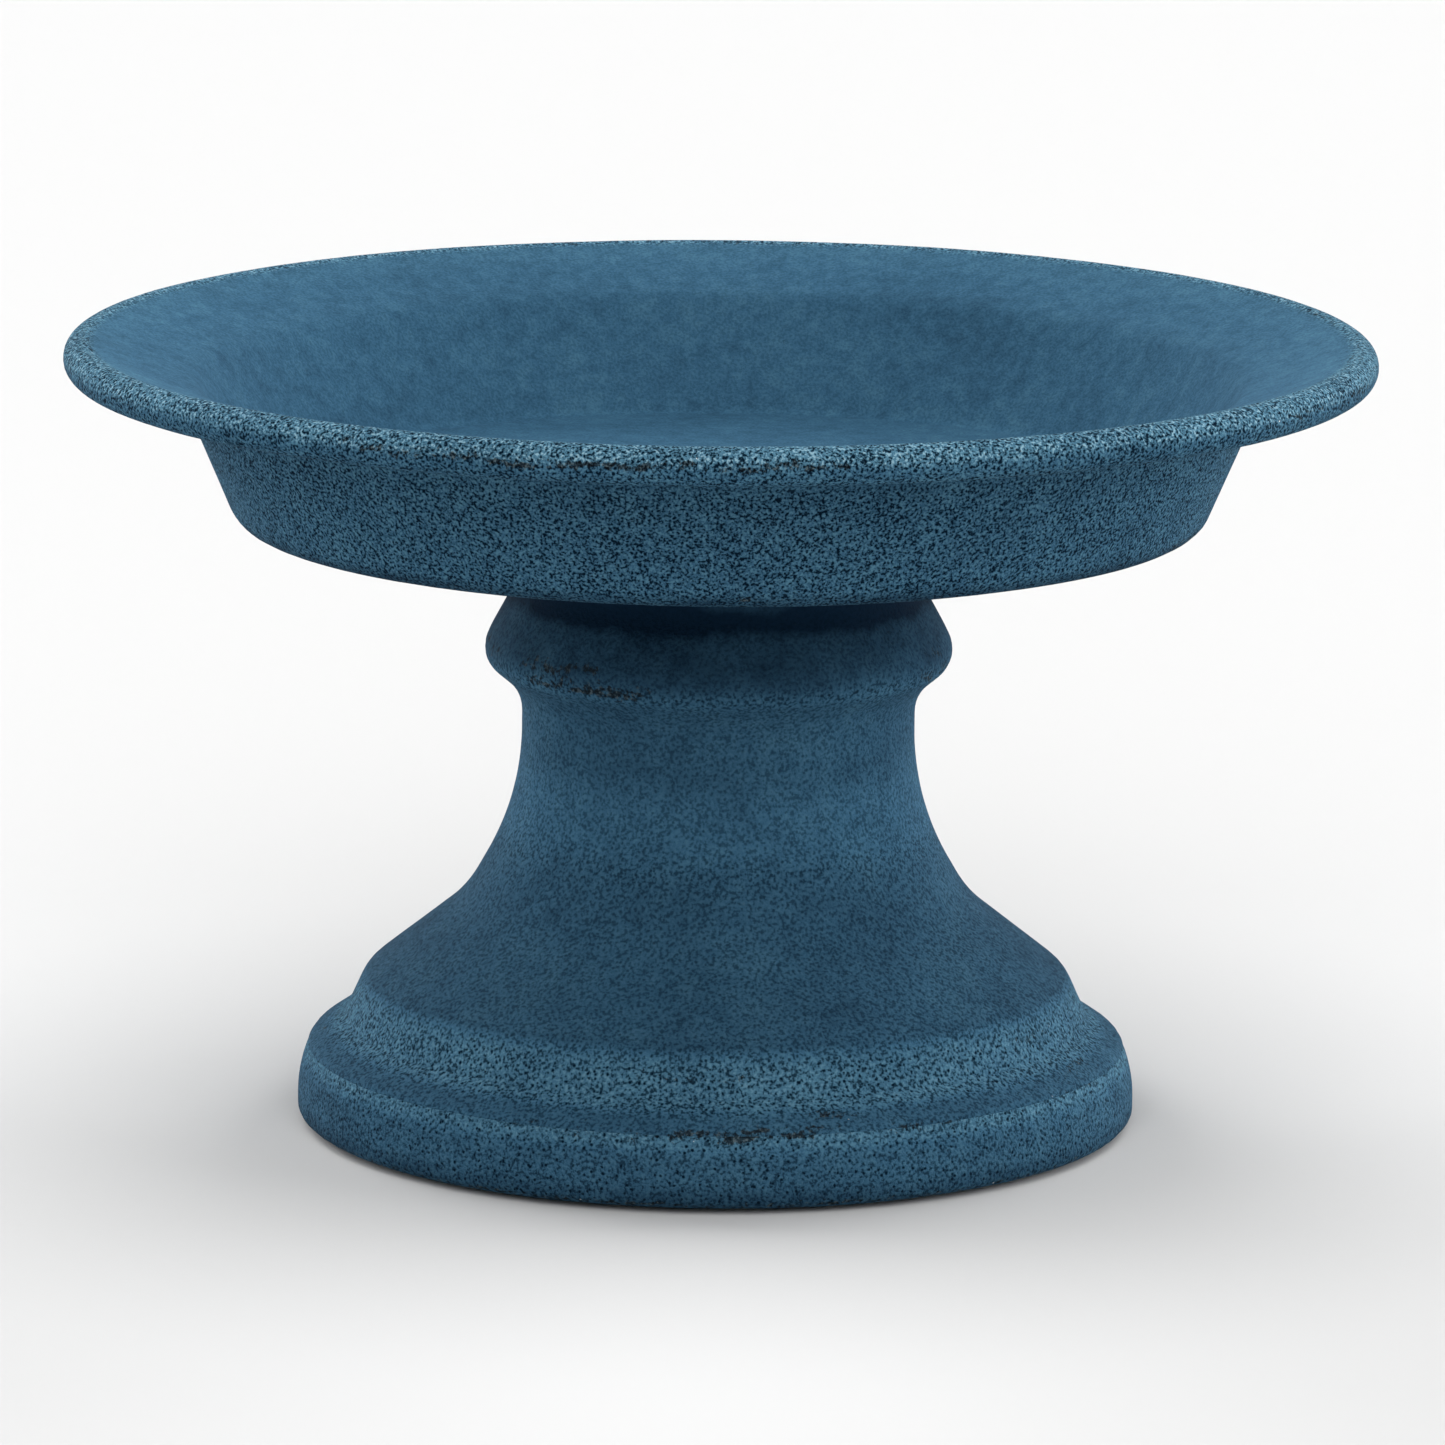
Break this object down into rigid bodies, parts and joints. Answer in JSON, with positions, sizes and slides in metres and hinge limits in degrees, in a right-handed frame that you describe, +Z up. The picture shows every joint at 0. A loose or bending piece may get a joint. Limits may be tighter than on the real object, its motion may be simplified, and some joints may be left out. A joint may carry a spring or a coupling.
{
  "type": "bird bath",
  "caption": "Small round pedestal bird bath: a shallow flanged basin with a rolled rim, lifted on and off a hollow waisted pedestal with a collar bead, ogee skirt and plinth ring.",
  "frame": {"origin": "middle of the ground that the feet stand on, on the axis of the bath", "axes": "+Z up, along the axis of basin and pedestal; +X towards one of the plinth screws, with a foot half-way to the next"},
  "size_m": [0.254, 0.254, 0.1545],
  "materials": {
    "blue_paint": "matte",
    "bare_casting": "satin",
    "rubber": "matte",
    "screw_steel": "satin"
  },
  "bodies": {
    "stand": {"pedestal": "blue_paint", "plinth_ring": "blue_paint", "plinth_screws": "screw_steel", "foot_1": "rubber", "foot_2": "rubber", "foot_3": "rubber", "foot_4": "rubber", "foot_screws": "screw_steel"},
    "seat": {"seat_gasket": "rubber"},
    "dish": {"basin": "blue_paint", "spigot_ring": "bare_casting", "spigot_screws": "screw_steel"}
  },
  "joints": [
    {"name": "basin_turn", "type": "hinge", "parent": "stand", "child": "seat", "pos_m": [0, 0, 0.1175], "axis": [0, 0, 1], "continuous": true},
    {"name": "basin_lift", "type": "slide", "parent": "seat", "child": "dish", "axis": [0, 0, 1], "range_m": [0, 0.06]}
  ]
}
